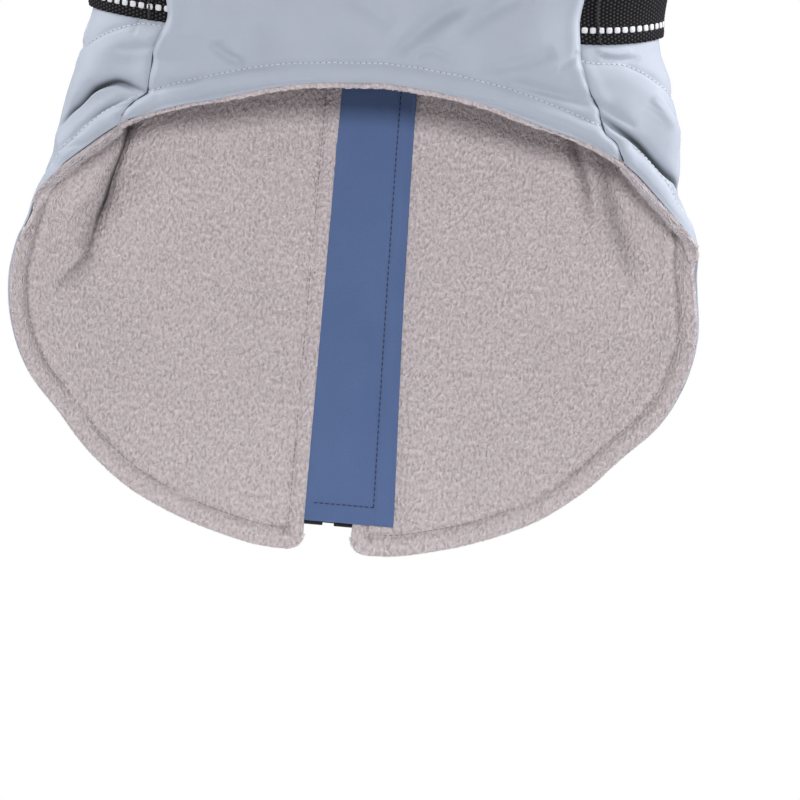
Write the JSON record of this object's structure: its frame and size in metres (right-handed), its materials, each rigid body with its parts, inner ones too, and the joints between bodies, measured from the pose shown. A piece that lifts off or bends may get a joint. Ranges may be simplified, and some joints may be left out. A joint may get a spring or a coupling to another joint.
{
  "type": "dog winter coat",
  "caption": "Hollow dog coat, filled out as worn: padded shell with fleece lining, arched belly hem, rounded tail flap, back zip with inside placket, webbing belt.",
  "frame": {"origin": "middle of the neck opening, in the plane of its rim, where the wearer holds the coat", "axes": "+Z towards the wearer's head along the back, -Y towards the belly, +Y towards the back with the zip, +X to the right of someone facing the belly"},
  "size_m": [0.3648, 0.1522, 0.5374],
  "materials": {
    "shell": "light grey-blue padded softshell, smooth, with a faint sheen",
    "fleece": "short pinkish-grey polar fleece",
    "placket": "denim-blue softshell cloth with navy stitching",
    "webbing": "black woven webbing with two lines of pale reflective dashes",
    "tape": "black zip tape",
    "coil": "black zip coil",
    "metal": "black enamelled zip slider and pull"
  },
  "bodies": {
    "coat": {"belly_panel": "shell", "belly_lining": "fleece", "back_panel_left": "shell", "back_panel_right": "shell", "back_lining_left": "fleece", "back_lining_right": "fleece", "belt_left": "webbing", "belt_right": "webbing", "zip_tape_left": "tape", "zip_tape_right": "tape", "zip_coil": "coil", "zip_stop": "metal", "zip_placket": "placket", "zip_slider": "metal"},
    "pull": {"zip_pull": "metal"}
  },
  "joints": [
    {"name": "pull_swing", "type": "hinge", "parent": "coat", "child": "pull", "pos_m": [0, 0.0578, -0.018], "axis": [1, 0, 0], "range_deg": [0, 170]}
  ]
}
